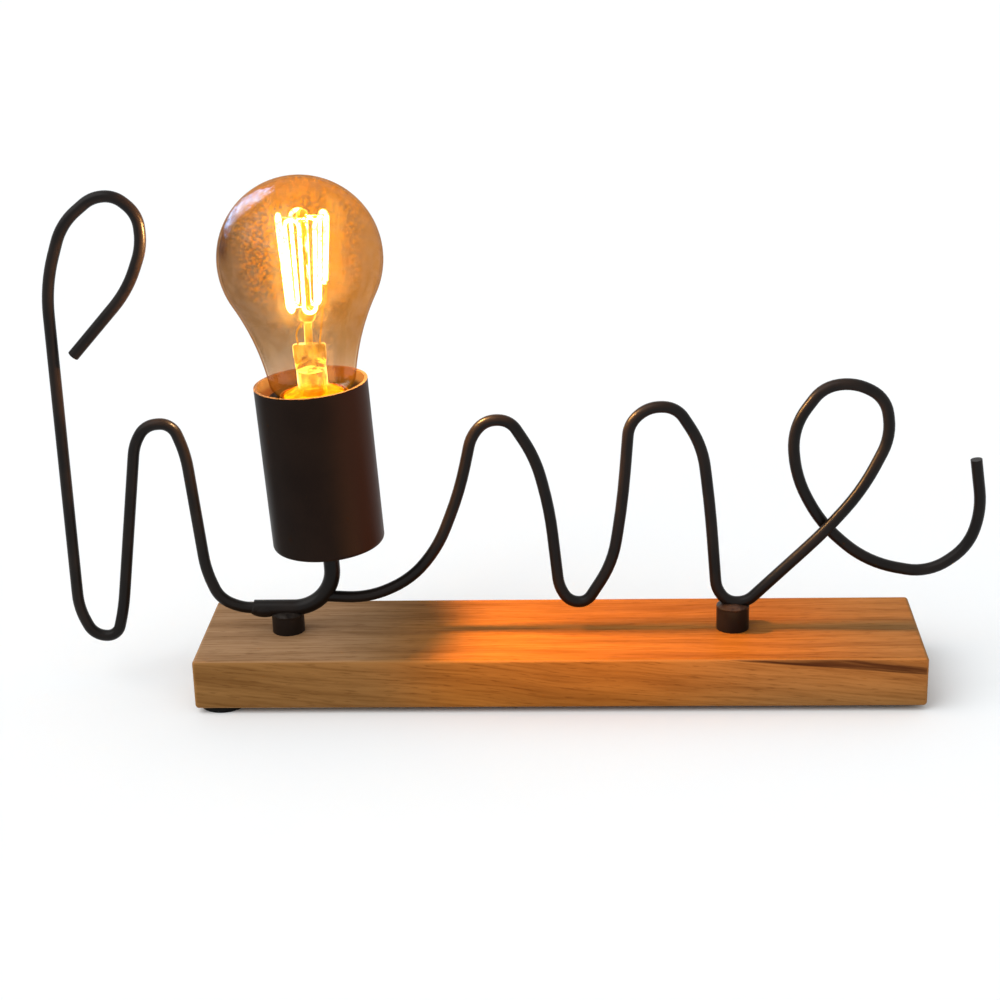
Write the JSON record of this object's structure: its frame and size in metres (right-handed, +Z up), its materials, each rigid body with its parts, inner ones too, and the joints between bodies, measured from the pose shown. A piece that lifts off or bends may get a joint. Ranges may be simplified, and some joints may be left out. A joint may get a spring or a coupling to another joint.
{
  "type": "accent lamp",
  "caption": "Table accent lamp: a wood bar carries bent steel rods in a script outline and a leaning steel cup with a screw-in globe bulb.",
  "frame": {"origin": "middle of the lamp's footprint, rods included, on the table", "axes": "+X to the right along the wood bar, +Y to its back, +Z up"},
  "size_m": [0.3552, 0.0616, 0.2025],
  "materials": {
    "wood": "oiled hardwood, grain along the bar",
    "rubber": "matt black rubber",
    "cover": "matt dark plate",
    "steel": "zinc plated",
    "painted": "dark bronze satin paint",
    "brass": "bright brass",
    "holder": "black phenolic",
    "ceramic": "glazed ceramic",
    "block": "pale nylon",
    "live": "brown insulation",
    "neutral": "blue insulation",
    "spring": "drawn spring wire",
    "amber_glass": "clear amber glass",
    "clear_glass": "clear glass",
    "black_glass": "black vitrite",
    "wire": "nickel wire",
    "filament": "glowing wire"
  },
  "bodies": {
    "frame": {"base_block": "wood", "rubber_feet": "rubber", "channel_cover": "cover", "cover_screws": "steel", "cable_grommet": "rubber", "terminal_block": "block", "terminal_tubes": "brass", "clamp_screws": "steel", "block_screw": "steel", "left_collar": "painted", "left_nipple": "steel", "left_washer": "steel", "left_nut": "steel", "right_collar": "painted", "right_screw": "steel", "right_washer": "steel", "stem_tube": "painted", "left_script_rod": "painted", "right_script_rod": "painted", "live_lead": "live", "neutral_lead": "neutral", "socket_cup": "painted", "holder_nipple": "brass", "holder_locknut": "brass", "lampholder_base": "holder", "lampholder_body": "holder", "contact_carrier": "ceramic", "screw_shell": "brass", "lead_terminals": "brass", "lead_screws": "steel", "contact_spring": "spring"},
    "contact": {"contact_plunger": "brass"},
    "bulb": {"bulb_cap": "brass", "cap_insulator": "black_glass", "cap_contact": "brass", "bulb_glass": "amber_glass", "glass_stem": "clear_glass", "lead_in_wires": "wire", "support_hooks": "wire", "filament": "filament"}
  },
  "joints": [
    {"name": "contact_travel", "type": "slide", "parent": "frame", "child": "contact", "axis": [-0.0419, 0, 0.9991], "range_m": [0, 0.00242], "deforming": ["contact_spring"]},
    {"name": "bulb_turn", "type": "hinge", "parent": "contact", "child": "bulb", "pos_m": [-0.07689, 0, 0.11979], "axis": [-0.0419, 0, 0.9991], "range_deg": [0, 240]}
  ],
  "couplings": [
    {"joint": "contact_travel", "follows": "bulb_turn", "m_per_rad": 0.0005776}
  ]
}
